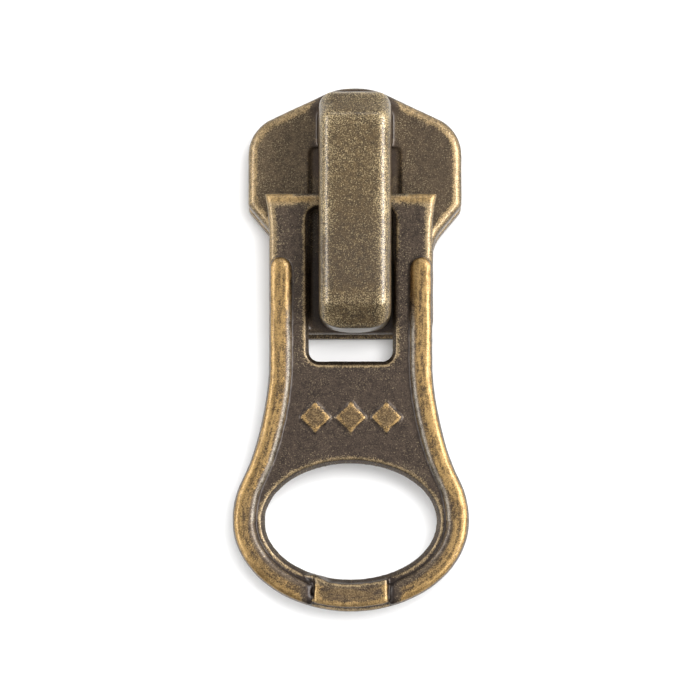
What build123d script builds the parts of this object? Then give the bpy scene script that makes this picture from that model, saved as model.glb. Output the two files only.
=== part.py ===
from build123d import *
import os

# An automatic-lock zipper slider with a long pull.
# +Z is up, +Y points at the nose and X runs across. The origin is the middle of the
# flat underside that the slider lies on. All sizes are in millimetres.

# How far joined solids run into each other, how far cutters reach past what they cut,
# and how near two coordinates must be to count as equal
OVERLAP = 0.2
REACH = 20
SAME = 0.01

# Blades of the slider body
NOSE_Y = 9.48
REAR_Y = -9.325
SHOULDER_HALF_WIDTH = 8.12
REAR_HALF_WIDTH = 5.95
NOSE_FLAT_HALF = 1.3
SHOULDER_Y = 6.26
WAIST_TOP_Y = 0.47
WAIST_BOTTOM_Y = -2.14
OUTLINE_RADII = [5.0, 3.0, 0.4, 2.6, 1.0]
BLADE_THICKNESS = 1.4
CHANNEL_HEIGHT = 3.8
BODY_TOP = 2 * BLADE_THICKNESS + CHANNEL_HEIGHT
BLADE_EDGE_RADIUS = 0.6

# Side flanges that keep the chain in the channel
FLANGE_WIDTH = 1.1
FLANGE_DROP = 1.1
FLANGE_FRONT_Y = 4.9
REAR_MOUTH_DEPTH = 3.0

# Guide post between the blades, in plan
GUIDE_REAR_Y = 0.9
GUIDE_WIDE_Y = 4.8
GUIDE_HALF_WIDTH = 2.4
GUIDE_FRONT_Y = 8.8
GUIDE_FRONT_HALF = 1.5
GUIDE_CORNER_RADIUS = 0.4

# Shallow seat for the crown on the upper blade
SEAT_HALF_WIDTH = 3.5
SEAT_FRONT_Y = 4.92
SEAT_DEPTH = 0.18
SEAT_CORNER_RADIUS = 0.4
SEAT_Z = BODY_TOP - SEAT_DEPTH

# Posts that carry the crown
FRONT_POST_Y = (4.95, 7.6)
FRONT_POST_HALF_WIDTH = 2.8
POST_CORNER_RADIUS = 0.25
FRONT_POST_TOP = 8.25
CRADLE_HALF_WIDTH = 1.9
CRADLE_Y = (3.45, 6.2)
CRADLE_TOP = 8.65
REAR_POST_Y = (-7.75, -7.15)
REAR_POST_TOP = 7.8

# Hole for the claw in the upper blade
CLAW_HOLE_Y = (-6.9, -4.4)
CLAW_HOLE_HALF_WIDTH = 1.35

# Crown cover
CROWN_HALF_WIDTH = 2.74
CROWN_FRONT_Y = 8.85
CROWN_REAR_Y = -9.3
CROWN_TOP = 11.2
CROWN_WALL = 0.75
CROWN_EDGE_RADIUS = 1.05
CROWN_FRONT_CORNER = 1.2
CROWN_REAR_CORNER = 1.4
CROWN_REAR_BOW = 7.0
FRONT_SLOPE_FOOT_Z = 9.6
FRONT_SLOPE_TOP_Y = 6.95
REAR_SLOPE_FOOT = (-9.2, 10.0)
REAR_SLOPE_TOP_Y = -7.4
CROWN_PROFILE_RADII = [0.7, 1.2, 1.2, 0.6]
CROWN_HOLLOW_Y = (-7.2, 6.3)
ARCH_Y = (-4.0, 3.2)
ARCH_TOP = 9.6
ARCH_RADIUS = 0.8
FIT_GAP = 0.03

# Pawl that locks the chain
PAWL_HINGE = (4.8, 8.75)
PAWL_KNUCKLE_RADIUS = 0.45
CRADLE_RADIUS = 0.5
PAWL_HALF_WIDTH = 1.7
PAWL_THICKNESS = 0.58
PAWL_HIGH_Z = 8.92
PAWL_LOW_Z = 8.4
PAWL_STEP_Y = (-0.9, -2.1)
PAWL_STEP_SHIFT = 0.15
PAWL_REAR_Y = -5.8
CLAW_THICKNESS = 1.05
CLAW_HALF_WIDTH = 1.0
CLAW_TIP_Z = 4.0
CLAW_TIP_Y = (0.3, 0.7)
CLAW_TAPER = 0.9

# Leaf spring between the pawl and the crown
SPRING_THICKNESS = 0.18
SPRING_HALF_WIDTH = 1.3
SPRING_Y = (-2.6, 4.4)
SPRING_LOW_Z = 9.52

# Pull tab, drawn flat with its crossbar on the X axis and its tail towards -Y
PIVOT = (-0.32, 0.6, 8.1)
PULL_SLOPE = 4.0
PULL_THICKNESS = 1.4
PULL_TOP_Y = 0.59
PULL_TOP_HALF_WIDTH = 6.53
PULL_ARM_HALF_WIDTH = 6.19
PULL_TOP_TANGENT = (-0.2, -1)
ARM_STRAIGHT_Y = (-2.95, -12.1)
FLARE_POINTS = [(6.73, -16.6), (7.83, -20.27)]
BULB_Y = -24.26
BULB_RADII = (8.97, 6.88)
PULL_EDGE_RADIUS = 0.45
WINDOW_HALF_WIDTH = 3.16
WINDOW_END_Y = -12.14
WINDOW_TOP_Y = -0.6
WINDOW_CORNER = 0.75
WINDOW_DRAFT = 0.27
BAR_NECK_HALF_WIDTH = 1.98
BAR_HALF_HEIGHT = 0.68
BAR_EDGE_RADIUS = 0.45
EYE_Y = -24.31
EYE_RADII = (6.48, 4.36)
EYE_DRAFT = 0.36

# Raised details on the pull
RIB_HEIGHT = 0.45
RIB_INSET = 0.1
RIB_ARM_WIDTH = 1.42
RIB_BULB_WIDTH = 1.5
RIB_START_Y = -4.31
RIB_EDGE_RADIUS = 0.34
BLOCK_HALF_WIDTH = 2.8
BLOCK_HEIGHT = 0.62
BLOCK_INSET = 0.34
BLOCK_GROOVE = 0.18
BLOCK_EDGE_RADIUS = 0.18
LOZENGE_Y = -16.4
LOZENGE_SIZE = (2.3, 2.4)
LOZENGE_SPACING = 2.7
LOZENGE_HEIGHT = 0.2

# Shallow round marks that the casting tool leaves on undersides
MARK_DEPTH = 0.08
BODY_MARKS = [(1.1, 3.6, 3.4), (1.1, -3.6, 3.4), (1.1, 3.1, -5.6), (1.1, -3.1, -5.6)]
PULL_MARKS = [(0.9, 0.0, -14.4), (0.7, 4.7, -6.4), (0.7, -4.7, -6.4)]


def span_box(half_width, y_range, z_range):
    """A box centred on X that covers the given Y and Z ranges."""
    low_y, high_y = sorted(y_range)
    low_z, high_z = sorted(z_range)
    box = Box(2 * half_width, high_y - low_y, high_z - low_z)
    return Pos(0, (low_y + high_y) / 2, (low_z + high_z) / 2) * box


def mirrored_face(right_half):
    """A face from the right half of an outline that starts and ends on the Y axis."""
    with BuildSketch() as sketch:
        with BuildLine():
            add(right_half)
            add(right_half.mirror(Plane.YZ))
        make_face()
    return sketch.sketch


def blade_outline():
    corners = [
        (0, NOSE_Y),
        (NOSE_FLAT_HALF, NOSE_Y),
        (SHOULDER_HALF_WIDTH, SHOULDER_Y),
        (SHOULDER_HALF_WIDTH, WAIST_TOP_Y),
        (REAR_HALF_WIDTH, WAIST_BOTTOM_Y),
        (REAR_HALF_WIDTH, REAR_Y),
        (0, REAR_Y),
    ]
    return mirrored_face(FilletPolyline(*corners, radius=OUTLINE_RADII))


def round_sides(blade, rim):
    """Round a blade's rim, except along its rear edge, which stays crisp."""
    sides = [edge for edge in rim if edge.center().Y > REAR_Y + SAME]
    return fillet(sides, BLADE_EDGE_RADIUS)


def flange_ring():
    outline = blade_outline()
    inner = offset(outline, amount=-FLANGE_WIDTH, kind=Kind.INTERSECTION)
    ring = outline - inner
    front = Pos(0, FLANGE_FRONT_Y + REACH / 2) * Rectangle(2 * REACH, REACH)
    mouth_width = 2 * (REAR_HALF_WIDTH - FLANGE_WIDTH)
    rear_mouth = Pos(0, REAR_Y) * Rectangle(mouth_width, 2 * REAR_MOUTH_DEPTH)
    return ring - front - rear_mouth


def guide_post():
    corners = [
        (0, GUIDE_REAR_Y),
        (GUIDE_HALF_WIDTH, GUIDE_WIDE_Y),
        (GUIDE_FRONT_HALF, GUIDE_FRONT_Y),
        (0, GUIDE_FRONT_Y),
    ]
    face = mirrored_face(Polyline(*corners))
    post = extrude(face, CHANNEL_HEIGHT + 2 * OVERLAP)
    post = fillet(post.edges().filter_by(Axis.Z), GUIDE_CORNER_RADIUS)
    return Pos(0, 0, BLADE_THICKNESS - OVERLAP) * post


def crown_seat():
    face = RectangleRounded(2 * SEAT_HALF_WIDTH, REACH, SEAT_CORNER_RADIUS)
    return Pos(0, SEAT_FRONT_Y - REACH / 2, SEAT_Z) * extrude(face, 2 * SEAT_DEPTH)


def front_post():
    flanks = span_box(FRONT_POST_HALF_WIDTH, FRONT_POST_Y, (SEAT_Z - OVERLAP, FRONT_POST_TOP))
    flanks = fillet(flanks.edges().filter_by(Axis.Z), POST_CORNER_RADIUS)
    cradle = span_box(CRADLE_HALF_WIDTH, CRADLE_Y, (SEAT_Z - OVERLAP, CRADLE_TOP))
    groove = Cylinder(CRADLE_RADIUS, REACH, rotation=(0, 90, 0))
    return flanks + cradle - Pos(0, *PAWL_HINGE) * groove


def casting_marks(marks, z):
    """Round cutters for the marks, each given as radius, X and Y."""
    return [Pos(x, y, z) * Cylinder(radius, 2 * MARK_DEPTH) for radius, x, y in marks]


def slider_body():
    outline = blade_outline()
    lower = extrude(outline, BLADE_THICKNESS)
    lower = round_sides(lower, lower.edges().group_by(Axis.Z)[0])
    upper = Pos(0, 0, BODY_TOP - BLADE_THICKNESS) * extrude(outline, BLADE_THICKNESS)
    upper = round_sides(upper, upper.edges().group_by(Axis.Z)[-1])
    ring = flange_ring()
    flange = extrude(ring, FLANGE_DROP + OVERLAP)
    low_flange = Pos(0, 0, BLADE_THICKNESS - OVERLAP) * flange
    high_flange = Pos(0, 0, BODY_TOP - BLADE_THICKNESS - FLANGE_DROP) * flange
    body = lower + upper + low_flange + high_flange + guide_post()
    body -= crown_seat()
    body += front_post()
    body += span_box(CRADLE_HALF_WIDTH, REAR_POST_Y, (SEAT_Z - OVERLAP, REAR_POST_TOP))
    hole_z = (BODY_TOP - BLADE_THICKNESS - OVERLAP, BODY_TOP + OVERLAP)
    body -= span_box(CLAW_HOLE_HALF_WIDTH, CLAW_HOLE_Y, hole_z)
    for mark in casting_marks(BODY_MARKS, 0):
        body -= mark
    return body


def crown_profile():
    """The crown's outline seen from the side, as a face in the YZ plane."""
    corners = [
        (0, BODY_TOP),
        (CROWN_FRONT_Y, BODY_TOP),
        (CROWN_FRONT_Y, FRONT_SLOPE_FOOT_Z),
        (FRONT_SLOPE_TOP_Y, CROWN_TOP),
        (REAR_SLOPE_TOP_Y, CROWN_TOP),
        REAR_SLOPE_FOOT,
        (CROWN_REAR_Y, SEAT_Z),
        (0, SEAT_Z),
    ]
    radii = [0] + CROWN_PROFILE_RADII + [0]
    with BuildSketch(Plane.YZ) as sketch:
        with BuildLine():
            FilletPolyline(*corners, radius=radii)
            Line((0, SEAT_Z), (0, BODY_TOP))
        make_face()
    return sketch.sketch


def crown_plan():
    """The crown's outline seen from above: straight in front, slightly bowed at the rear."""
    bow_centre = CROWN_REAR_Y + CROWN_REAR_BOW
    bow = Pos(0, bow_centre) * Circle(CROWN_REAR_BOW)
    bow += Pos(0, bow_centre + REACH / 2) * Rectangle(2 * CROWN_REAR_BOW, REACH)
    length = CROWN_FRONT_Y - CROWN_REAR_Y
    face = bow & Pos(0, CROWN_REAR_Y + length / 2) * Rectangle(2 * CROWN_HALF_WIDTH, length)
    ends = face.vertices().group_by(Axis.Y)
    face = fillet(ends[-1], CROWN_FRONT_CORNER)
    return fillet(face.vertices().group_by(Axis.Y)[0], CROWN_REAR_CORNER)


def rounded_crown():
    """The crown before it is hollowed, rounded along its sides and at its corners."""
    solid = extrude(crown_profile(), CROWN_HALF_WIDTH, both=True)
    rim = [edge for edge in solid.edges() if abs(edge.center().X) > CROWN_HALF_WIDTH - SAME]
    solid = fillet([edge for edge in rim if edge.center().Z > BODY_TOP + SAME], CROWN_EDGE_RADIUS)
    return solid & extrude(crown_plan(), REACH)


def crown_cover():
    solid = rounded_crown()
    past_side = CROWN_HALF_WIDTH + OVERLAP
    past_foot = SEAT_Z - OVERLAP
    inner_half = CROWN_HALF_WIDTH - CROWN_WALL
    solid -= span_box(inner_half, CROWN_HOLLOW_Y, (past_foot, CROWN_TOP - CROWN_WALL))
    arch = span_box(past_side, ARCH_Y, (past_foot - ARCH_RADIUS, ARCH_TOP))
    top_edges = arch.edges().filter_by(Axis.X).group_by(Axis.Z)[-1]
    solid -= fillet(top_edges, ARCH_RADIUS)
    front_y = (FRONT_POST_Y[0] - FIT_GAP, FRONT_POST_Y[1] + FIT_GAP)
    solid -= span_box(past_side, front_y, (past_foot, FRONT_POST_TOP + FIT_GAP))
    rear_y = (REAR_POST_Y[0] - FIT_GAP, REAR_POST_Y[1] + FIT_GAP)
    solid -= span_box(CRADLE_HALF_WIDTH + FIT_GAP, rear_y, (past_foot, REAR_POST_TOP + FIT_GAP))
    solid -= span_box(past_side, (SEAT_FRONT_Y, REACH), (past_foot, BODY_TOP))
    return solid


def lock_pawl():
    rear_top = PAWL_LOW_Z + PAWL_THICKNESS
    front_top = PAWL_HIGH_Z + PAWL_THICKNESS
    claw_front = PAWL_REAR_Y + CLAW_THICKNESS
    strip = [
        (PAWL_HINGE[0], front_top),
        (PAWL_STEP_Y[0], front_top),
        (PAWL_STEP_Y[1], rear_top),
        (PAWL_REAR_Y, rear_top),
        (PAWL_REAR_Y, PAWL_LOW_Z),
        (PAWL_STEP_Y[1] + PAWL_STEP_SHIFT, PAWL_LOW_Z),
        (PAWL_STEP_Y[0] + PAWL_STEP_SHIFT, PAWL_HIGH_Z),
        (PAWL_HINGE[0], PAWL_HIGH_Z),
    ]
    claw = [
        (PAWL_REAR_Y, rear_top - OVERLAP),
        (PAWL_REAR_Y, CLAW_TIP_Z + CLAW_TAPER),
        (PAWL_REAR_Y + CLAW_TIP_Y[0], CLAW_TIP_Z),
        (PAWL_REAR_Y + CLAW_TIP_Y[1], CLAW_TIP_Z),
        (claw_front, CLAW_TIP_Z + CLAW_TAPER),
        (claw_front, rear_top - OVERLAP),
    ]
    strip_face = make_face(Plane.YZ * Polyline(*strip, close=True))
    claw_face = make_face(Plane.YZ * Polyline(*claw, close=True))
    strip_solid = extrude(strip_face, PAWL_HALF_WIDTH, both=True)
    claw_solid = extrude(claw_face, CLAW_HALF_WIDTH, both=True)
    knuckle = Cylinder(PAWL_KNUCKLE_RADIUS, 2 * PAWL_HALF_WIDTH, rotation=(0, 90, 0))
    return strip_solid + claw_solid + Pos(0, *PAWL_HINGE) * knuckle


def leaf_spring():
    middle_y = (SPRING_Y[0] + SPRING_Y[1]) / 2
    high_z = CROWN_TOP - CROWN_WALL - SPRING_THICKNESS
    lower = ThreePointArc((SPRING_Y[0], high_z), (middle_y, SPRING_LOW_Z), (SPRING_Y[1], high_z))
    face = Plane.YZ * trace(lower, SPRING_THICKNESS)
    spring = extrude(face, SPRING_HALF_WIDTH, both=True)
    return Pos(0, 0, SPRING_THICKNESS / 2) * spring


def tab_outline(arm_inset, bulb_inset):
    """The pull's outline, drawn in by one amount along the arms and another round the bulb."""
    arm = PULL_ARM_HALF_WIDTH - arm_inset
    bulb = (BULB_RADII[0] - bulb_inset, BULB_RADII[1] - bulb_inset)
    halfway = (arm_inset + bulb_inset) / 2
    flare = [(x - halfway, y) for x, y in FLARE_POINTS]
    top_corner = (PULL_TOP_HALF_WIDTH - arm_inset, PULL_TOP_Y)
    down = (0, -1)
    with BuildLine() as half:
        Line((0, PULL_TOP_Y), top_corner)
        Spline(top_corner, (arm, ARM_STRAIGHT_Y[0]), tangents=(PULL_TOP_TANGENT, down))
        Line((arm, ARM_STRAIGHT_Y[0]), (arm, ARM_STRAIGHT_Y[1]))
        Spline((arm, ARM_STRAIGHT_Y[1]), *flare, (bulb[0], BULB_Y), tangents=(down, down))
        EllipticalCenterArc((0, BULB_Y), bulb[0], bulb[1], start_angle=-90, arc_size=90)
    return mirrored_face(half.line)


def drafted_cutter(outline, draft):
    """A cutter that is narrowest at the plate's middle and wider by draft at both faces.

    outline(growth) gives the opening's face, grown by that much."""
    half = PULL_THICKNESS / 2
    reach = half + BLOCK_HEIGHT + OVERLAP
    upper = loft([outline(0), Pos(0, 0, half) * outline(draft)])
    above = Pos(0, 0, half) * extrude(outline(draft), reach - half)
    side = upper + above
    return side + side.mirror(Plane.XY)


def window_outline(growth):
    width = 2 * (WINDOW_HALF_WIDTH + growth)
    height = WINDOW_TOP_Y - WINDOW_END_Y + 2 * growth
    middle_y = (WINDOW_TOP_Y + WINDOW_END_Y) / 2
    return Pos(0, middle_y) * RectangleRounded(width, height, WINDOW_CORNER + growth)


def eye_outline(growth):
    return Pos(0, EYE_Y) * Ellipse(EYE_RADII[0] + growth, EYE_RADII[1] + growth)


def pull_plate():
    half = PULL_THICKNESS / 2
    plate = Pos(0, 0, -half) * extrude(tab_outline(0, 0), PULL_THICKNESS)
    return fillet(plate.faces().filter_by(Axis.Z).edges(), PULL_EDGE_RADIUS)


def bar_neck():
    """The rounded middle of the crossbar, which turns under the pawl."""
    length = 2 * BAR_NECK_HALF_WIDTH + OVERLAP
    middle_y = (PULL_TOP_Y + WINDOW_TOP_Y) / 2
    bar = Box(length, PULL_TOP_Y - WINDOW_TOP_Y, 2 * BAR_HALF_HEIGHT)
    return Pos(0, middle_y) * fillet(bar.edges().filter_by(Axis.X), BAR_EDGE_RADIUS)


def ribs():
    outer = tab_outline(RIB_INSET, RIB_INSET)
    inner = tab_outline(RIB_INSET + RIB_ARM_WIDTH, RIB_INSET + RIB_BULB_WIDTH)
    half = RIB_ARM_WIDTH / 2
    end_y = RIB_START_Y - half
    above = Pos(0, end_y + REACH / 2) * Rectangle(REACH, REACH)
    gap = Pos(0, BULB_Y - REACH / 2) * Rectangle(2 * (BLOCK_HALF_WIDTH + BLOCK_GROOVE), REACH)
    band = outer - inner - above - gap
    end_x = PULL_ARM_HALF_WIDTH - RIB_INSET - half
    band += Pos(end_x, end_y) * Circle(half)
    band += Pos(-end_x, end_y) * Circle(half)
    solid = extrude(band, RIB_HEIGHT + OVERLAP)
    return Pos(0, 0, PULL_THICKNESS / 2 - OVERLAP) * solid


def tail_block():
    outer = tab_outline(BLOCK_INSET, BLOCK_INSET)
    strip = Pos(0, BULB_Y - REACH / 2) * Rectangle(2 * BLOCK_HALF_WIDTH, REACH)
    face = (outer & strip) - eye_outline(0)
    solid = extrude(face, BLOCK_HEIGHT + OVERLAP)
    return Pos(0, 0, PULL_THICKNESS / 2 - OVERLAP) * solid


def lozenges():
    width, height = LOZENGE_SIZE
    points = [(0, height / 2), (width / 2, 0), (0, -height / 2), (-width / 2, 0)]
    solid = extrude(make_face(Polyline(*points, close=True)), LOZENGE_HEIGHT + OVERLAP)
    z = PULL_THICKNESS / 2 - OVERLAP
    return [Pos(step * LOZENGE_SPACING, LOZENGE_Y, z) * solid for step in (-1, 0, 1)]


def pull_tab():
    rib_solids = ribs()
    rib_solids = fillet(rib_solids.edges().group_by(Axis.Z)[-1], RIB_EDGE_RADIUS)
    block = tail_block()
    block = fillet(block.edges().group_by(Axis.Z)[-1], BLOCK_EDGE_RADIUS)
    pull = pull_plate() + rib_solids + block
    pull -= drafted_cutter(window_outline, WINDOW_DRAFT)
    pull -= drafted_cutter(eye_outline, EYE_DRAFT)
    neck_y = (WINDOW_TOP_Y - WINDOW_DRAFT - OVERLAP, PULL_TOP_Y + OVERLAP)
    pull -= span_box(BAR_NECK_HALF_WIDTH, neck_y, (-PULL_THICKNESS, PULL_THICKNESS))
    pull += bar_neck()
    for lozenge in lozenges():
        pull += lozenge
    for mark in casting_marks(PULL_MARKS, -PULL_THICKNESS / 2):
        pull -= mark
    return Pos(*PIVOT) * Rot(X=PULL_SLOPE) * pull


NODES = {
    "slider_body": slider_body,
    "crown_cover": crown_cover,
    "lock_pawl": lock_pawl,
    "leaf_spring": leaf_spring,
    "pull_tab": pull_tab,
}

os.makedirs("parts", exist_ok=True)
for name, make in NODES.items():
    export_step(make(), f"parts/{name}.step")
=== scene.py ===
import math

import bmesh
import bpy
import numpy as np
from mathutils import Matrix, Vector, noise
from mathutils.bvhtree import BVHTree


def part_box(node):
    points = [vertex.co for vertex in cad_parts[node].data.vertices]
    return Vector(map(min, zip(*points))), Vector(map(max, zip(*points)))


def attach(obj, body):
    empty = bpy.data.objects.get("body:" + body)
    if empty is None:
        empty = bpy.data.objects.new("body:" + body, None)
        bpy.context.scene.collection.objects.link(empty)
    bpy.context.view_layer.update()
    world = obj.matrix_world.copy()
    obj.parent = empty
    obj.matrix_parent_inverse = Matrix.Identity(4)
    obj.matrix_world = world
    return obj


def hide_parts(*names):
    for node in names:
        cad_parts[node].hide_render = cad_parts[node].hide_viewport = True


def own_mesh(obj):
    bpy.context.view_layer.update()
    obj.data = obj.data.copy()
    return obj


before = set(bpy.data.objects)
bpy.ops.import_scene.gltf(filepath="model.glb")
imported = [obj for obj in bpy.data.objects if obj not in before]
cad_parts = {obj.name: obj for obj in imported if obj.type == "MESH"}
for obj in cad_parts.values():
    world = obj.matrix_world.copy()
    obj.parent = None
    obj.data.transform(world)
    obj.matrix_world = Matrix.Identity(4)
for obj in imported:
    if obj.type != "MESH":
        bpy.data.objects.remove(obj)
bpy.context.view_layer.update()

scene = bpy.context.scene
MM = 0.001


# ---------------------------------------------------------------- measures, in millimetres

UP = np.array((0, 0, 1))
PULL_SLOPE = math.radians(4.0)
PULL_UP = np.array((0, -math.sin(PULL_SLOPE), math.cos(PULL_SLOPE)))
PULL_THICKNESS = 1.4
PIVOT = np.array((-0.32, 0.6, 8.1))  # the middle of the pull's crossbar
BULB_Y = -24.26  # the bulb's and the eye's ends are counted from the pivot
BULB_RADII = (8.97, 6.88)
EYE_END_Y = -28.5
OUTLINE_STEP = 0.25  # how finely the pull's outline is read off its mesh
RIB_REACH = 2.1  # how far in from the outline the ribs and the feet of their walls reach
BLOCK_HALF_WIDTH = 2.95
GROOVE_OFFSET = 0.18  # from the tail block's end to the middle of the groove beside it
GROOVE_HALF_WIDTH = 0.16
SEAT_HALF_WIDTH = 3.45
SEAT_FRONT_Y = 4.9
# RUB_REACH also sets how far from other pieces shade is painted.
RUB_REACH = 1.2  # a surface that is further than this from other pieces is rubbed freely


# ---------------------------------------------------------------- camera

VIEW_WIDTH = 53.2 * MM
CAMERA_DISTANCE = 0.60
CAMERA_ELEVATION = math.radians(85.3)
AIM_SIDE = -0.06 * MM
AIM_Y = -10.605 * MM
AIM_HEIGHT = 6.6 * MM


def make_camera():
    """A long lens almost straight above the slider, leaning a little towards the pull's tail."""
    pull_low, pull_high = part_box("pull_tab")
    target = Vector(((pull_low.x + pull_high.x) / 2 + AIM_SIDE, AIM_Y, AIM_HEIGHT))
    back = Vector((0, -math.cos(CAMERA_ELEVATION), math.sin(CAMERA_ELEVATION)))
    data = bpy.data.cameras.new("camera")
    data.sensor_width = 36.0
    data.lens = data.sensor_width * CAMERA_DISTANCE / VIEW_WIDTH
    data.clip_start = 0.01
    data.clip_end = 10
    camera = bpy.data.objects.new("camera", data)
    camera.location = target + back * CAMERA_DISTANCE
    camera.rotation_mode = "QUATERNION"
    camera.rotation_quaternion = (-back).to_track_quat("-Z", "Y")
    scene.collection.objects.link(camera)
    scene.camera = camera
    return target


target = make_camera()


# ---------------------------------------------------------------- light and floor

def area_light(name, location, size, power, lights_floor=False):
    """A soft box aimed at the slider; size is its width along the floor and its height.

    It either lights the floor and casts the shadow, or gives the metal something to reflect."""
    data = bpy.data.lights.new(name, "AREA")
    data.shape = "RECTANGLE"
    data.size, data.size_y = size
    data.energy = power
    light = bpy.data.objects.new(name, data)
    light.visible_glossy = not lights_floor
    light.visible_diffuse = lights_floor
    light.location = Vector(location)
    light.rotation_mode = "QUATERNION"
    light.rotation_quaternion = (target - light.location).to_track_quat("-Z", "Y")
    scene.collection.objects.link(light)


WORLD_STRENGTH = 0.56
DARK_SIDES = (("X", -0.95, -0.50, 0.65), ("Y", -0.80, -0.40, 0.45))  # axis, low, full, darkest


def make_world():
    """White all round, and darker towards the left and towards the tail of the pull."""
    world = bpy.data.worlds.new("studio")
    world.use_nodes = True
    nodes, links = world.node_tree.nodes, world.node_tree.links
    direction = nodes.new("ShaderNodeTexCoord")
    split = nodes.new("ShaderNodeSeparateXYZ")
    links.new(direction.outputs["Generated"], split.inputs["Vector"])
    shares = []
    for axis, low, full, darkest in DARK_SIDES:
        falloff = nodes.new("ShaderNodeMapRange")
        falloff.interpolation_type = "SMOOTHSTEP"
        links.new(split.outputs[axis], falloff.inputs["Value"])
        falloff.inputs["From Min"].default_value = low
        falloff.inputs["From Max"].default_value = full
        falloff.inputs["To Min"].default_value = darkest
        shares.append(falloff.outputs["Result"])
    both = nodes.new("ShaderNodeMath")
    both.operation = "MULTIPLY"
    links.new(shares[0], both.inputs[0])
    links.new(shares[1], both.inputs[1])
    strength = nodes.new("ShaderNodeMath")
    strength.operation = "MULTIPLY"
    links.new(both.outputs["Value"], strength.inputs[0])
    strength.inputs[1].default_value = WORLD_STRENGTH
    nodes["Background"].inputs["Color"].default_value = (1, 1, 1, 1)
    links.new(strength.outputs["Value"], nodes["Background"].inputs["Strength"])
    scene.world = world


def make_lights():
    area_light("overhead", (0.062, 0.006, 0.75), (0.16, 0.16), 4.1, lights_floor=True)
    area_light("ceiling", (0.0, 0.0, 0.80), (0.90, 0.90), 3.0, lights_floor=True)
    area_light("strip_right", (0.20, 0.0, 0.18), (0.30, 0.12), 1.35)
    area_light("strip_left", (-0.21, 0.0, 0.16), (0.30, 0.085), 0.57)
    area_light("back", (0.03, 0.26, 0.20), (0.30, 0.06), 0.20)


def make_floor():
    """White paper for the slider to lie on."""
    bm = bmesh.new()
    bmesh.ops.create_grid(bm, x_segments=1, y_segments=1, size=1.5)
    mesh = bpy.data.meshes.new("floor")
    bm.to_mesh(mesh)
    bm.free()
    floor = bpy.data.objects.new("floor", mesh)
    paper = bpy.data.materials.new("floor_paper")
    paper.use_nodes = True
    shader = paper.node_tree.nodes["Principled BSDF"]
    shader.inputs["Base Color"].default_value = (0.95, 0.95, 0.95, 1)
    shader.inputs["Roughness"].default_value = 0.9
    mesh.materials.append(paper)
    scene.collection.objects.link(floor)


make_world()
make_lights()
make_floor()
scene.view_settings.view_transform = "Standard"


# ---------------------------------------------------------------- fine meshes from the CAD shapes

def fine_copy(node, name, voxel, soften):
    """A dense, evenly divided copy of a CAD node, in millimetres while it is worked on."""
    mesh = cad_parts[node].data.copy()
    mesh.materials.clear()
    mesh.transform(Matrix.Scale(1 / MM, 4))
    bm = bmesh.new()
    bm.from_mesh(mesh)
    bmesh.ops.remove_doubles(bm, verts=bm.verts, dist=1e-4)
    bm.to_mesh(mesh)
    bm.free()
    piece = bpy.data.objects.new(name, mesh)
    scene.collection.objects.link(piece)
    remesh = piece.modifiers.new("remesh", "REMESH")
    remesh.mode = "VOXEL"
    remesh.voxel_size = voxel
    evaluated = piece.evaluated_get(bpy.context.evaluated_depsgraph_get())
    dense = bpy.data.meshes.new_from_object(evaluated)
    piece.modifiers.clear()
    piece.data = dense
    points, edges = arrays(dense)
    store(dense, diffuse(points, edges, soften))
    return piece


def arrays(mesh):
    """The mesh's points, and the pairs of points that its edges join."""
    points = np.empty(len(mesh.vertices) * 3)
    mesh.vertices.foreach_get("co", points)
    edges = np.empty(len(mesh.edges) * 2, int)
    mesh.edges.foreach_get("vertices", edges)
    return points.reshape(-1, 3), edges.reshape(-1, 2)


def store(mesh, points):
    mesh.vertices.foreach_set("co", points.ravel())
    mesh.update()


def normals_of(mesh):
    normals = np.empty(len(mesh.vertices) * 3)
    mesh.vertex_normals.foreach_get("vector", normals)
    return normals.reshape(-1, 3)


def gather(values, edges):
    """Each point's mean over its neighbours."""
    count = len(values)
    first, second = edges[:, 0], edges[:, 1]
    degree = np.bincount(first, minlength=count) + np.bincount(second, minlength=count)
    columns = []
    for column in values.reshape(count, -1).T:
        total = np.bincount(first, column[second], count)
        total = total + np.bincount(second, column[first], count)
        columns.append(total / np.maximum(degree, 1))
    return np.stack(columns, 1).reshape(values.shape)


def diffuse(values, edges, steps):
    """Even out values over the surface; each step moves them halfway to their neighbours' mean."""
    for _ in range(steps):
        values = (values + gather(values, edges)) / 2
    return values


def rise(values, start, end):
    """A smooth step from 0 to 1 as values go from start to end."""
    share = np.clip((values - start) / (end - start), 0, 1)
    return share * share * (3 - 2 * share)


def bend_of(mesh):
    """Mean curvature at each point, per millimetre: positive on outer edges, negative in corners."""
    points, edges = arrays(mesh)
    normals = normals_of(mesh)
    along = points[edges[:, 1]] - points[edges[:, 0]]
    turn = normals[edges[:, 1]] - normals[edges[:, 0]]
    bend = (turn * along).sum(1) / np.maximum((along * along).sum(1), 1e-9)
    count = len(points)
    total = np.bincount(edges[:, 0], bend, count) + np.bincount(edges[:, 1], bend, count)
    degree = np.bincount(edges.ravel(), minlength=count)
    return total / np.maximum(degree, 1)


def openness(points, nodes):
    """0 where another piece is so close that the surface can't be rubbed and is painted in shade, 1 in
    the open.
    """
    open_share = np.ones(len(points))
    for node in nodes:
        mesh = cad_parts[node].data
        corners = [v.co / MM for v in mesh.vertices]
        tree = BVHTree.FromPolygons(corners, [p.vertices[:] for p in mesh.polygons])
        gaps = np.full(len(points), RUB_REACH)
        for place, point in enumerate(points):
            distance = tree.find_nearest(Vector(point), RUB_REACH)[3]
            if distance is not None:
                gaps[place] = distance
        open_share *= rise(gaps, 0.1, RUB_REACH)
    return open_share


def paint(mesh, name, values):
    layer = mesh.attributes.new(name, "FLOAT", "POINT")
    layer.data.foreach_set("value", values.astype(np.float32))


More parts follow.
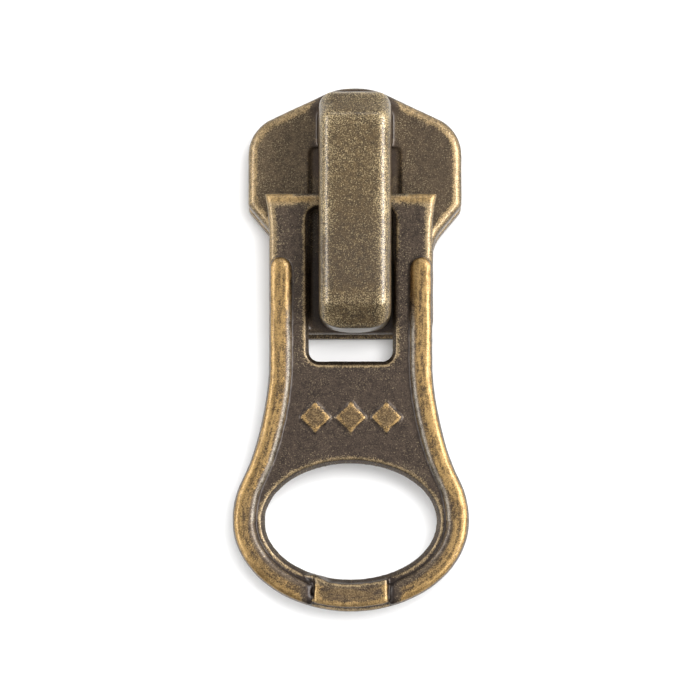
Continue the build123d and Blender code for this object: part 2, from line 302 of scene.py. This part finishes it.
def noise_at(points, scale, offset):
    """Perlin noise at each point, with its own scale along each axis."""
    shift = Vector(offset)
    stretch = Vector(scale)
    return np.array([noise.noise(Vector(p) * stretch + shift) for p in points])


# ---------------------------------------------------------------- the pull's ribs and block

def from_pivot(points):
    """How far each point lies to either side of the pull's middle line, and ahead of its hinge."""
    return np.abs(points[:, 0] - PIVOT[0]), points[:, 1] - PIVOT[1]


def on_block(points):
    """True for points on the block at the tail of the pull."""
    across, ahead = from_pivot(points)
    return (across < BLOCK_HALF_WIDTH) & (ahead < EYE_END_Y)


def pull_height(points):
    """Height above the pull's plate, which slopes down towards its tail."""
    return (points - PIVOT) @ PULL_UP - PULL_THICKNESS / 2


def outline_place(points):
    """How far in from the pull's outline each point is, how far round it, and which way in is.

    The arms' outline is read off the mesh row by row; the bulb's is an ellipse."""
    across, ahead = from_pivot(points)
    row = np.clip((-ahead / OUTLINE_STEP).astype(int), 0, None)
    widest = np.zeros(row.max() + 1)
    np.maximum.at(widest, row, across)
    rows, middle = np.arange(len(widest)), -ahead / OUTLINE_STEP - 0.5
    half = np.interp(middle, rows, widest)
    lean = np.interp(middle, rows, np.gradient(widest, OUTLINE_STEP))
    arm_inward = (half - across) / np.hypot(1, lean)
    side = np.sign(points[:, 0] - PIVOT[0])
    below = np.minimum(ahead - BULB_Y, 0)
    long, short = BULB_RADII
    ellipse = (across / long) ** 2 + (below / short) ** 2 - 1
    steepness = 2 * np.hypot(across / long**2, below / short**2)
    inward = np.where(below < 0, -ellipse / np.maximum(steepness, 1e-3), arm_inward)
    along = np.where(below < 0, BULB_Y - np.arctan2(-below, across) * short, ahead)
    slope_x = np.where(below < 0, across / long**2, 1)
    slope_y = np.where(below < 0, below / short**2, lean)
    way_in = -np.stack([slope_x * side, slope_y, np.zeros(len(points))], 1)
    way_in /= np.maximum(np.linalg.norm(way_in, axis=1), 1e-6)[:, None]
    return inward, along * side, way_in


def rib_streaks(inward, along):
    """Noise drawn out along the pull's outline, as rubbing leaves it, a little darker mid-rib."""
    flat = np.stack([inward, along, np.zeros(len(inward))], 1)
    coarse = noise_at(flat, (5.0, 0.45, 1), (2, 5, 9))
    fine = noise_at(flat, (11, 1.3, 1), (7, 1, 4))
    middle = np.exp(-(((inward - 0.85) / 0.22) ** 2))
    return (coarse + 0.7 * fine - 0.06 * middle) * (inward < RIB_REACH)


def round_ribs(mesh):
    """Crown the two ribs of the pull, and widen them slightly at their inner walls.

    The block between their ends keeps its crisp edges."""
    points, edges = arrays(mesh)
    across, ahead = from_pivot(points)
    height = pull_height(points)
    share = rise(height, 0.22, 0.36) * ~on_block(points)
    rounded = diffuse(points, edges, 14)
    inward, _, way_in = outline_place(points)
    beside_block = rise(across, BLOCK_HALF_WIDTH + 0.1, BLOCK_HALF_WIDTH + 0.9)
    clear_of_block = np.where(ahead < EYE_END_Y, beside_block, 1)
    wall = rise(inward, 0.9, 1.4) * (1 - rise(inward, 1.7, 2.15)) * rise(-ahead, 3, 6)
    spread = wall * clear_of_block * rise(height, -0.5, -0.1)
    spread = spread * (0.12 - 0.05 * rise(height, 0.0, 0.4))
    store(mesh, points + (rounded - points) * share[:, None] + way_in * spread[:, None])


def sheltered_edges(points, inward):
    """How far the pull's edges escape rubbing.

    They are the ribs' inner edges and ends, and the rims of the window and the eye."""
    across, ahead = from_pivot(points)
    beside_block = across > BLOCK_HALF_WIDTH
    on_rib = (inward < RIB_REACH) * beside_block * rise(-ahead, 6.0, 10.0)
    inner_edge = 0.75 * rise(inward, 1.05, 1.4) * on_rib * rise(pull_height(points), 0.1, 0.2)
    near_block = rise(-across, -BLOCK_HALF_WIDTH - 1.4, -BLOCK_HALF_WIDTH - 0.3)
    rib_end = near_block * beside_block * (ahead < EYE_END_Y)
    opening_rim = 0.4 * rise(inward, 1.9, 2.2)
    return np.maximum.reduce([inner_edge, rib_end, opening_rim])


def rubbed_tops(points):
    """How far the raised parts of the pull are rubbed: less on the block and towards the tail, and
    from further forward on the left, as painted shade on the left bulb.
    """
    _, ahead = from_pivot(points)
    # Painted shade: the left side's tail starts further forward, so the left bulb is duller.
    on_left = points[:, 0] < PIVOT[0]
    tail = rise(-ahead + 4.0 * on_left, 23.0, 29.5)
    share = np.where(on_block(points), 0.36, 1 - 0.35 * tail)
    return rise(pull_height(points), 0.05, 0.17) * share


# ---------------------------------------------------------------- rubbing, dirt, painted shade and painted highlights, marked on the points

def common_wear_and_shading(mesh, facing, free):
    """Marks for any casting: rubbed edges (ridge, halo), corners (crease), level faces, and shade
    painted where other pieces come close.

    What stands proud, the streaks and the highlight painted on the ribs' inner walls are marked on the
    pull alone."""
    bend = bend_of(mesh)
    _, edges = arrays(mesh)
    none = np.zeros(len(free))
    return {
        "ridge": diffuse(np.clip(bend, 0, 1.7), edges, 4) * free,
        "halo": diffuse(np.clip(bend, 0, 1.3), edges, 44) * free,
        "crease": diffuse(np.clip(-bend, 0, 4), edges, 5),
        "level": rise(facing, 0.45, 0.8),
        # painted shade where other pieces come close
        "shade": 1 - free,
        "proud": none,
        "streak": none,
        "wall": none,
    }


def pull_wear_and_shading(wear_and_shading, points, facing, free):
    """Rubbed ribs with streaks, a highlight painted on their inner walls, shade painted dark in the
    grooves at the block's ends, and shade painted on the plate, darker than on the arms.
    """
    across, ahead = from_pivot(points)
    inward, along, _ = outline_place(points)
    rubbing = 1 - sheltered_edges(points, inward)
    crossbar = rise(ahead, -0.75, 0.1) * free
    proud = rubbed_tops(points) * np.where(inward < RIB_REACH, rubbing, 0.42)
    # Painted highlight: a light band on the ribs' steep inner walls, marked as wall.
    steep = 1 - rise(facing, 0.8, 0.97)
    wall = steep * rise(inward, 1.38, 1.46) * (1 - rise(inward, 1.58, 1.68))
    wall = wall * rise(-ahead, 6, 10) * (1 - rise(-ahead, 24, 29))
    # Painted shade: the grooves beside the tail block's ends are marked as deep corners, to be painted
    # dark.
    groove_x = BLOCK_HALF_WIDTH + GROOVE_OFFSET
    in_groove = (np.abs(across - groove_x) < GROOVE_HALF_WIDTH) & (ahead < EYE_END_Y)
    wear_and_shading["ridge"] = wear_and_shading["ridge"] * rubbing
    wear_and_shading["halo"] = (wear_and_shading["halo"] + 0.9 * crossbar) * rubbing
    wear_and_shading["crease"] = np.where(in_groove, 2.0, wear_and_shading["crease"])
    wear_and_shading["level"] = np.where(inward < 1.9, rise(facing, 0.2, 0.65), rise(facing, 0.70, 0.96))
    # Painted shade: shade from nearby pieces kept at 0.3, and the plate behind the arms painted darker
    # than the arms.
    wear_and_shading["shade"] = np.maximum(wear_and_shading["shade"] * 0.3, 0.42 * rise(-ahead, 11.0, 13.0))
    wear_and_shading["proud"] = np.maximum(proud, 0.35 * crossbar)
    wear_and_shading["streak"] = rib_streaks(inward, along)
    wear_and_shading["wall"] = wall


def crown_painted_shade(wear_and_shading, points, facing, forward):
    """Painted shade: dark on its steep sides, and darker on top behind its middle."""
    behind = -points[:, 1]
    # Painted shade on the steep sides and behind the middle of the top.
    steep = 0.8 * (1 - rise(facing, 0.15, 0.7)) * (1 - rise(forward, 0.1, 0.5))
    rear = 0.5 * rise(behind, -2.5, 4.0) * (1 - 0.8 * rise(behind, 5.5, 7.0))
    wear_and_shading["shade"] = np.maximum(0.6 * steep, rear)


def body_wear_and_shade(wear_and_shading, points):
    """Painted shade on the right wing and in the crown's seat, and little rubbed in and round that
    seat.
    """
    side, ahead = np.abs(points[:, 0]), points[:, 1]
    in_seat = (side < SEAT_HALF_WIDTH) & (ahead < SEAT_FRONT_Y)
    # Painted shade: darker on the right wing and in the seat.
    right_wing = 0.4 * rise(points[:, 0], 1.0, 5.0)
    round_seat = (side < SEAT_HALF_WIDTH + 0.5) & (ahead < SEAT_FRONT_Y + 0.6)
    kept = np.where(round_seat, 0.2, 1)
    wear_and_shading["shade"] = np.maximum(wear_and_shading["shade"], np.where(in_seat, 0.3, right_wing))
    wear_and_shading["ridge"] = wear_and_shading["ridge"] * np.maximum(kept, 0.4)
    wear_and_shading["halo"] = wear_and_shading["halo"] * kept
    wear_and_shading["crease"] = wear_and_shading["crease"] * kept


def cast_skin(mesh, ridge):
    """Make the skin slightly uneven and nick its ridges, without going below the floor."""
    points, _ = arrays(mesh)
    uneven = noise_at(points, (0.9, 0.9, 0.9), (3, 7, 1)) * 0.012
    uneven += noise_at(points, (2.6, 2.6, 2.6), (8, 2, 5)) * 0.006
    nicked = np.clip(noise_at(points, (1.7, 1.7, 1.7), (1, 9, 4)) - 0.25, 0, 1)
    nicks = nicked * np.clip(ridge, 0, 1.5) * 0.06
    points = points + normals_of(mesh) * (uneven - nicks)[:, None]
    points[:, 2] = np.maximum(points[:, 2], 0)
    store(mesh, points)


def hand_over(piece, node, body):
    """Bring a finished piece back to metres and put it in its node's place."""
    piece.data.transform(Matrix.Scale(MM, 4))
    for polygon in piece.data.polygons:
        polygon.use_smooth = True
    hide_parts(node)
    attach(piece, body)
    return piece


def worn_casting(node, name, body, voxel, up, neighbours):
    """A cast piece with a slightly uneven skin and with its worn edges and dirty corners marked, along
    with its painted shade and painted highlights.
    """
    piece = fine_copy(node, name, voxel, 2)
    mesh = piece.data
    if node == "pull_tab":
        round_ribs(mesh)
    points, edges = arrays(mesh)
    facing = np.abs(normals_of(mesh) @ up)
    free = openness(points, neighbours)
    wear_and_shading = common_wear_and_shading(mesh, facing, free)
    if node == "pull_tab":
        pull_wear_and_shading(wear_and_shading, points, facing, free)
    if node == "crown_cover":
        crown_painted_shade(wear_and_shading, points, facing, normals_of(mesh)[:, 1])
    if node == "slider_body":
        body_wear_and_shade(wear_and_shading, points)
    wear_and_shading["shade"] = diffuse(wear_and_shading["shade"], edges, 2)
    wear_and_shading["wall"] = diffuse(wear_and_shading["wall"], edges, 1)
    cast_skin(mesh, wear_and_shading["ridge"])
    for mark, values in wear_and_shading.items():
        paint(mesh, mark, values)
    return hand_over(piece, node, body)


def hidden_part(node, name, body, voxel):
    """A stamped part from inside the slider, with its sheared edges softened."""
    piece = fine_copy(node, name, voxel, 3)
    return hand_over(piece, node, body)


# ---------------------------------------------------------------- materials

class Recipe:
    """A material's node tree. Each method adds a node and gives back its output."""

    def __init__(self, name):
        self.material = bpy.data.materials.new(name)
        self.material.use_nodes = True
        self.nodes = self.material.node_tree.nodes
        self.links = self.material.node_tree.links
        self.shader = self.nodes["Principled BSDF"]
        self.place = self.in_millimetres()

    def feed(self, socket, value):
        if isinstance(value, bpy.types.NodeSocket):
            self.links.new(value, socket)
        else:
            socket.default_value = value

    def in_millimetres(self):
        coordinates = self.nodes.new("ShaderNodeTexCoord")
        scaling = self.nodes.new("ShaderNodeMapping")
        scaling.inputs["Scale"].default_value = (1 / MM, 1 / MM, 1 / MM)
        self.links.new(coordinates.outputs["Object"], scaling.inputs["Vector"])
        return scaling.outputs["Vector"]

    def noise(self, per_mm, detail=2.0, rough=0.55, shift=(0, 0, 0)):
        moved = self.nodes.new("ShaderNodeMapping")
        moved.inputs["Location"].default_value = shift
        self.links.new(self.place, moved.inputs["Vector"])
        texture = self.nodes.new("ShaderNodeTexNoise")
        texture.inputs["Scale"].default_value = per_mm
        texture.inputs["Detail"].default_value = detail
        texture.inputs["Roughness"].default_value = rough
        self.links.new(moved.outputs["Vector"], texture.inputs["Vector"])
        return texture.outputs["Fac"]

    def attribute(self, name):
        found = self.nodes.new("ShaderNodeAttribute")
        found.attribute_name = name
        return found.outputs["Fac"]

    def math(self, operation, first, second=0.0):
        maths = self.nodes.new("ShaderNodeMath")
        maths.operation = operation
        self.feed(maths.inputs[0], first)
        self.feed(maths.inputs[1], second)
        return maths.outputs["Value"]

    def blend(self, *weighted):
        """The weighted sum of (value, weight) pairs."""
        total = None
        for value, weight in weighted:
            part = self.math("MULTIPLY", value, weight)
            total = part if total is None else self.math("ADD", total, part)
        return total

    def rise(self, value, start, end, low=0.0, high=1.0):
        """A smooth step from low to high as value goes from start to end."""
        step = self.nodes.new("ShaderNodeMapRange")
        step.interpolation_type = "SMOOTHSTEP"
        self.feed(step.inputs["Value"], value)
        for key, number in (("From Min", start), ("From Max", end), ("To Min", low), ("To Max", high)):
            step.inputs[key].default_value = number
        return step.outputs["Result"]

    def mix(self, share, first, second):
        mixing = self.nodes.new("ShaderNodeMix")
        mixing.data_type = "RGBA"
        self.feed(mixing.inputs[0], share)
        self.feed(mixing.inputs[6], first)
        self.feed(mixing.inputs[7], second)
        return mixing.outputs[2]

    def bump(self, height, distance, strength=1.0, after=None):
        bumping = self.nodes.new("ShaderNodeBump")
        bumping.inputs["Strength"].default_value = strength
        bumping.inputs["Distance"].default_value = distance
        self.feed(bumping.inputs["Height"], height)
        if after is not None:
            self.links.new(after, bumping.inputs["Normal"])
        return bumping.outputs["Normal"]


def antique_brass(name, look, seed):
    """Brass darkened with patina under a thin lacquer, rubbed back to metal on its high spots."""
    r = Recipe(name)
    shift = (seed * 3.1, seed * 1.7, seed * 2.3)
    ridge, halo, crease = r.attribute("ridge"), r.attribute("halo"), r.attribute("crease")
    level, proud, streak = r.attribute("level"), r.attribute("proud"), r.attribute("streak")
    shade, wall = r.attribute("shade"), r.attribute("wall")
    patches = r.noise(0.45, 3, 0.6, shift)
    mottle = r.noise(2.4, 3, 0.6, shift)
    speckle = r.noise(9.0, 2, 0.6, shift)
    dust = r.noise(14.0, 1, 0.5, shift)

    # Patina on the flat faces, with fine flecks of brass shining through.
    tone = r.blend((mottle, 0.35), (speckle, 0.35), (dust, 0.3))
    patina = r.mix(r.rise(tone, 0.36, 0.64), look["dark"], look["brown"])
    # Painted shade: where shade is marked the patina turns to the shaded colour, and below, most
    # flecks are lost.
    patina = r.mix(r.math("MULTIPLY", shade, 0.8), patina, look["shaded"])
    density = r.blend((r.rise(patches, 0.3, 0.7, -1, 1), 0.03), (halo, 0.12))
    fleck_level = r.math("ADD", r.blend((speckle, 0.55), (dust, 0.45)), density)
    start = look["fleck_start"]
    flecks = r.rise(fleck_level, start, start + 0.14, 0.0, look["fleck"])
    flecks = r.math("MULTIPLY", flecks, r.rise(shade, 0.2, 0.8, 1.0, 0.1))

    # Brass on rubbed edges and on everything that stands proud, with a ragged border.
    ragged = r.blend((mottle, 0.8), (speckle, 0.9), (dust, 0.8), (1.0, -1.25))
    rubbed = r.math("ADD", r.blend((ridge, look["ridge"]), (halo, look["halo"])), ragged)
    rubbed = r.math("MULTIPLY", r.rise(rubbed, 0.45, 1.0), level)
    worn_top = r.math("ADD", r.blend((streak, 0.65), (ragged, 0.5)), 0.55)
    worn_top = r.rise(worn_top, 0.1, 0.75, 0.25, 1.0)
    worn_top = r.math("MULTIPLY", worn_top, r.math("MULTIPLY", proud, level))
    pits = r.rise(r.blend((speckle, 0.5), (dust, 0.5)), 0.38, 0.60, look["pits"], 1.0)
    bared = r.math("MULTIPLY", r.math("MAXIMUM", rubbed, worn_top), pits)
    edge_brass = r.mix(r.rise(tone, 0.40, 0.60), look["dull_edge"], look["bright_edge"])
    streaky = r.math("ADD", tone, r.math("MULTIPLY", streak, 0.22))
    top_brass = r.mix(r.rise(streaky, 0.36, 0.62), look["dull_top"], look["bright_top"])
    brass = r.mix(r.rise(proud, 0.15, 0.45), edge_brass, top_brass)

    # Dirt in the corners covers both, with shade painted dark in the grooves beside the pull's block,
    # and a highlight is painted on the ribs' inner walls.
    dirt_and_shade = r.math("ADD", crease, r.math("MULTIPLY", ragged, 0.2))
    dirt_and_shade = r.rise(dirt_and_shade, look["dirt_and_shade_start"], 1.5, 0.0, 0.75)
    clear_of_dirt_and_shade = r.math("SUBTRACT", 1.0, dirt_and_shade)
    share = r.math("MULTIPLY", bared, clear_of_dirt_and_shade)
    flecked = r.mix(r.math("MULTIPLY", flecks, clear_of_dirt_and_shade), patina, look["spark"])
    colour = r.mix(share, flecked, brass)
    colour = r.mix(dirt_and_shade, colour, look["grime_and_shade"])
    # Painted highlight: a light band on the ribs' inner walls.
    wall_highlight_share = r.math("MULTIPLY", wall, r.rise(tone, 0.40, 0.58, 0.1, 1.0))
    colour = r.mix(wall_highlight_share, colour, look["painted_wall_highlight"])
    r.feed(r.shader.inputs["Base Color"], colour)
    r.shader.inputs["Metallic"].default_value = 1.0
    dullness = r.rise(mottle, 0.2, 0.8, 0.52, 0.64)
    roughness = r.math("SUBTRACT", dullness, r.math("MULTIPLY", share, 0.08))
    r.feed(r.shader.inputs["Roughness"], roughness)
    r.shader.inputs["Coat Weight"].default_value = look["coat"]
    r.shader.inputs["Coat Roughness"].default_value = look["coat_roughness"]
    r.shader.inputs["Coat IOR"].default_value = 1.5
    r.shader.inputs["Specular Tint"].default_value = look["grazing"]
    skin = r.bump(mottle, 0.02 * MM, 0.5)
    r.feed(r.shader.inputs["Normal"], r.bump(speckle, 0.010 * MM, 0.8, skin))
    return r.material


def plain_metal(name, light, dark, roughness, seed):
    """Stamped steel, with faint stains and a fine grain."""
    r = Recipe(name)
    shift = (seed * 2.9, seed * 1.3, seed * 0.7)
    stains = r.noise(1.3, 4, 0.6, shift)
    grain = r.noise(9.0, 2, 0.5, shift)
    r.feed(r.shader.inputs["Base Color"], r.mix(r.rise(stains, 0.35, 0.7), light, dark))
    r.shader.inputs["Metallic"].default_value = 1.0
    r.feed(r.shader.inputs["Roughness"], r.rise(grain, 0.3, 0.7, roughness - 0.06, roughness + 0.1))
    r.feed(r.shader.inputs["Normal"], r.bump(grain, 0.006 * MM, 0.6))
    return r.material


# ---------------------------------------------------------------- pieces

BASE_LOOK = {
    "dark": (0.060, 0.043, 0.028, 1),
    "brown": (0.150, 0.108, 0.066, 1),
    "shaded": (0.040, 0.028, 0.024, 1),
    "spark": (0.46, 0.37, 0.22, 1),
    "dull_edge": (0.20, 0.145, 0.080, 1),
    "bright_edge": (0.50, 0.37, 0.205, 1),
    "dull_top": (0.22, 0.137, 0.052, 1),
    "bright_top": (0.56, 0.36, 0.145, 1),
    "grime_and_shade": (0.020, 0.014, 0.012, 1),
    "grazing": (0.7, 0.66, 0.6, 1),
    "painted_wall_highlight": (0.33, 0.30, 0.25, 1),
    "dirt_and_shade_start": 0.5,
    "fleck_start": 0.60,
    "fleck": 0.65,
    "ridge": 0.9,
    "halo": 1.2,
    "pits": 0.65,
    "coat": 0.5,
    "coat_roughness": 0.25,
}
BODY_LOOK = BASE_LOOK | {
    "dark": (0.066, 0.047, 0.029, 1),
    "brown": (0.168, 0.121, 0.073, 1),
    "dull_edge": (0.17, 0.12, 0.062, 1),
    "bright_edge": (0.43, 0.305, 0.155, 1),
    "fleck_start": 0.55,
}
CROWN_LOOK = BASE_LOOK | {
    "grazing": (0.49, 0.47, 0.42, 1),
    "dark": (0.038, 0.024, 0.010, 1),
    "brown": (0.160, 0.107, 0.049, 1),
    "spark": (0.54, 0.43, 0.24, 1),
    "fleck_start": 0.53,
    "fleck": 0.8,
    "ridge": 0.25,
    "halo": 0.3,
    "coat": 1.0,
    "coat_roughness": 0.28,
}
PULL_LOOK = BASE_LOOK | {
    "dark": (0.038, 0.028, 0.022, 1),
    "brown": (0.116, 0.085, 0.062, 1),
    "dull_top": (0.235, 0.145, 0.052, 1),
    "bright_top": (0.475, 0.305, 0.118, 1),
    "bright_edge": (0.42, 0.31, 0.17, 1),
    "fleck_start": 0.575,
    "coat": 0.4,
}

body = worn_casting("slider_body", "body_casting", "slider",
                    voxel=0.12, up=UP, neighbours=("crown_cover", "pull_tab"))
crown = worn_casting("crown_cover", "crown_shell", "slider",
                     voxel=0.10, up=UP, neighbours=())
pull = worn_casting("pull_tab", "long_pull", "pull",
                    voxel=0.11, up=PULL_UP, neighbours=("crown_cover",))
body.data.materials.append(antique_brass("body_antique_brass", BODY_LOOK, seed=1))
crown.data.materials.append(antique_brass("crown_antique_brass", CROWN_LOOK, seed=2))
pull.data.materials.append(antique_brass("pull_antique_brass", PULL_LOOK, seed=3))
pawl = hidden_part("lock_pawl", "locking_pawl", "pawl", voxel=0.08)
pawl.data.materials.append(plain_metal(
    "pawl_steel", (0.34, 0.29, 0.22, 1), (0.16, 0.13, 0.10, 1), roughness=0.38, seed=1))
spring = hidden_part("leaf_spring", "pawl_spring", "slider", voxel=0.05)
spring.data.materials.append(plain_metal(
    "spring_steel", (0.60, 0.60, 0.62, 1), (0.40, 0.39, 0.38, 1), roughness=0.25, seed=2))
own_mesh(spring)
